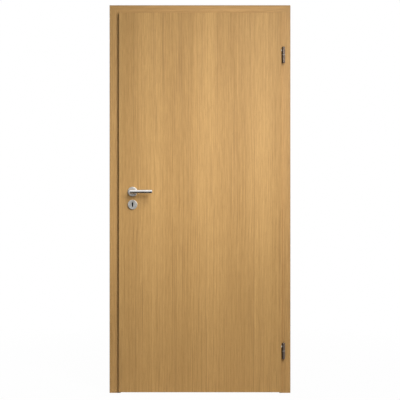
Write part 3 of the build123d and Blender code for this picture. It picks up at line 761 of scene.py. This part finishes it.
class DOOR_OT_set_stage(bpy.types.Operator):
    """Sets the floor, the light and the camera"""

    bl_idname = "door.set_stage"
    bl_label = "Set the stage"

    def execute(self, context):
        scene = context.scene
        stage = scene.door_stage
        scene.view_settings.view_transform = "Standard"
        self.set_world(scene, stage)
        self.set_floor(stage)
        self.set_lamps(scene, stage)
        self.set_cards()
        self.set_camera(scene, stage)
        return {"FINISHED"}

    def seen_directly(self, tree):
        """Mask of the rays that should see plain white: from the camera, a mirror or through glass."""
        rays = place(tree, "ShaderNodeLightPath").outputs
        mask = math_node(tree, "MAXIMUM", rays["Is Camera Ray"], rays["Is Glossy Ray"])
        return math_node(tree, "MAXIMUM", mask, rays["Is Transmission Ray"])

    def set_world(self, scene, stage):
        """White behind the object, and an even fill for its surfaces."""
        world = bpy.data.worlds.new("Studio")
        world.use_nodes = True
        tree = world.node_tree
        background = tree.nodes["Background"]
        background.inputs["Color"].default_value = WHITE
        strength = remap(tree, self.seen_directly(tree), 0.0, 1.0, stage.fill, 1.0)
        feed(tree, background.inputs["Strength"], strength)
        scene.world = world

    def set_floor(self, stage):
        """A wide pale floor that keeps a soft shadow."""
        shape = bmesh.new()
        bmesh.ops.create_grid(shape, x_segments=1, y_segments=1, size=FLOOR_SIZE)
        bmesh.ops.translate(shape, verts=shape.verts, vec=(FRAME_MIDDLE_X, 0.0, -FLOOR_DROP))
        floor = new_object("floor", shape, self.floor_material(stage))

    def floor_material(self, stage):
        """A matt floor that is nearly white to the camera, and plain white away from the door."""
        material = bpy.data.materials.new("Pale floor")
        material.use_nodes = True
        tree = material.node_tree
        tree.nodes.remove(tree.nodes["Principled BSDF"])
        matt = place(tree, "ShaderNodeBsdfDiffuse", values={"Color": opaque(stage.floor_colour)})
        white = place(tree, "ShaderNodeEmission", values={"Color": WHITE, "Strength": 1.0})
        at = place(tree, "ShaderNodeTexCoord").outputs["Object"]
        door = (FRAME_MIDDLE_X, 0.0, 0.0)
        apart = place(tree, "ShaderNodeVectorMath", {"operation": "DISTANCE"}, {0: at, 1: door})
        white_share = remap(tree, apart.outputs["Value"], *FLOOR_WHITENS, stage.floor_white, 1.0)
        share = math_node(tree, "MULTIPLY", self.seen_directly(tree), white_share)
        mix = place(tree, "ShaderNodeMixShader", values={0: share, 1: matt.outputs[0], 2: white.outputs[0]})
        feed(tree, tree.nodes["Material Output"].inputs["Surface"], mix.outputs[0])
        return material

    def set_lamps(self, scene, stage):
        """A column of soft spots in front, more above it, one on the right, and three for the other sides.

        Each has a power, a cone in degrees, a radius, a place and an aim, both from the frame's middle.
        """
        front_y = CASING_LOW.y
        size = stage.lamp_size
        lamps = [
            ("Side", stage.side_power, 70.0, 1.3 * size, (1.90, front_y - 3.1, 2.6), (-0.2, front_y, 1.25)),
            ("Back", stage.back_power, 80.0, 2.0 * size, (-1.4, 3.2, 2.6), (0.0, 0.0, 1.0)),
            ("Left", stage.edge_power, 44.0, size, (-4.2, 2.6, 1.9), (-0.4, 0.0, 1.2)),
            ("Right", stage.edge_power, 44.0, size, (4.2, 2.6, 1.9), (0.4, 0.0, 1.2)),
        ]
        for height in COLUMN_HEIGHTS:
            share = stage.column_power / len(COLUMN_HEIGHTS)
            at = (0.77, front_y - 3.4, height)
            lamps.append((f"Column {height}", share, 49.0, size, at, (-0.42, front_y, 1.72)))
        for height in HIGH_HEIGHTS:
            share = stage.high_power / len(HIGH_HEIGHTS)
            at = (1.5, front_y - 3.3, height)
            lamps.append((f"High {height}", share, 31.0, 2.0 * size, at, (0.04, front_y, 0.79)))
        for lamp in lamps:
            self.add_spot(scene, *lamp)

    def add_spot(self, scene, name, power, angle, size, at, aim):
        """A round soft spot lamp."""
        light = bpy.data.lights.new(name, "SPOT")
        light.energy = power
        light.spot_size = math.radians(angle)
        light.spot_blend = 1.0
        light.shadow_soft_size = size
        lamp = bpy.data.objects.new(name, light)
        lamp.location = Vector(at) + Vector((FRAME_MIDDLE_X, 0.0, 0.0))
        lamp.rotation_euler = (Vector(aim) - Vector(at)).to_track_quat("-Z", "Y").to_euler()
        scene.collection.objects.link(lamp)

    def set_cards(self):
        """Dark cards below, to the left and in front, which only the metal's reflections see."""
        dark = bpy.data.materials.new("Dark card")
        dark.use_nodes = True
        shader = dark.node_tree.nodes["Principled BSDF"]
        shader.inputs["Base Color"].default_value = CARD_COLOUR
        shader.inputs["Roughness"].default_value = 0.9
        cards = {
            "card_low": ((FRAME_MIDDLE_X - 2.0, -3.58, 0.03), (2.0, 3.42), (0.0, 0.0, 1.0)),
            "card_left": ((FRAME_MIDDLE_X - 3.6, -3.8, 1.8), (1.8, 1.8), (1.0, 0.0, 0.0)),
            "card_front": ((FRAME_MIDDLE_X, -7.0, 0.75), (4.0, 0.75), (0.0, 1.0, 0.0)),
        }
        for name, (at, half_sizes, direction) in cards.items():
            self.add_card(name, dark, at, half_sizes, direction)

    def add_card(self, name, material, at, half_sizes, direction):
        """A flat card of two half sizes, which faces a direction."""
        shape = bmesh.new()
        bmesh.ops.create_grid(shape, x_segments=1, y_segments=1, size=1.0)
        bmesh.ops.scale(shape, verts=shape.verts, vec=(*half_sizes, 1.0))
        facing(shape, at, direction)
        card = new_object(name, shape, material)
        card.visible_camera = False
        card.visible_diffuse = False
        card.visible_shadow = False
        card.visible_transmission = False

    def set_camera(self, scene, stage):
        """A level camera straight in front of the middle of the frame."""
        lens = bpy.data.cameras.new("Camera")
        lens.sensor_fit = "HORIZONTAL"
        lens.lens = lens.sensor_width * stage.camera_distance / stage.view_width
        camera = bpy.data.objects.new("Camera", lens)
        camera.location = (FRAME_MIDDLE_X, CASING_LOW.y - stage.camera_distance, stage.camera_height)
        camera.rotation_euler = (math.radians(90.0), 0.0, 0.0)
        scene.collection.objects.link(camera)
        scene.camera = camera


class DOOR_PT_panel(bpy.types.Panel):
    """Lists the door's finishes and fittings in the sidebar"""

    bl_idname = "DOOR_PT_panel"
    bl_label = "Interior door"
    bl_space_type = "VIEW_3D"
    bl_region_type = "UI"
    bl_category = "Door"

    def draw(self, context):
        for operator in OPERATORS:
            self.layout.operator(operator.bl_idname)
        for group in (context.scene.door_finish, context.scene.door_fittings, context.scene.door_stage):
            box = self.layout.box()
            for name in group.__annotations__:
                box.prop(group, name)


OPERATORS = (
    DOOR_OT_finish_leaf,
    DOOR_OT_finish_frame,
    DOOR_OT_finish_seals,
    DOOR_OT_finish_hinges,
    DOOR_OT_finish_levers,
    DOOR_OT_finish_lock,
    DOOR_OT_set_stage,
)
CLASSES = (DoorFinish, DoorFittings, DoorStage, *OPERATORS, DOOR_PT_panel)


def register():
    for each in CLASSES:
        bpy.utils.register_class(each)
    bpy.types.Scene.door_finish = bpy.props.PointerProperty(type=DoorFinish)
    bpy.types.Scene.door_fittings = bpy.props.PointerProperty(type=DoorFittings)
    bpy.types.Scene.door_stage = bpy.props.PointerProperty(type=DoorStage)


def unregister():
    del bpy.types.Scene.door_stage
    del bpy.types.Scene.door_fittings
    del bpy.types.Scene.door_finish
    for each in reversed(CLASSES):
        bpy.utils.unregister_class(each)


def main():
    register()
    bpy.ops.door.finish_leaf()
    bpy.ops.door.finish_frame()
    bpy.ops.door.finish_seals()
    bpy.ops.door.finish_hinges()
    bpy.ops.door.finish_levers()
    bpy.ops.door.finish_lock()
    bpy.ops.door.set_stage()


if __name__ == "__main__":
    main()
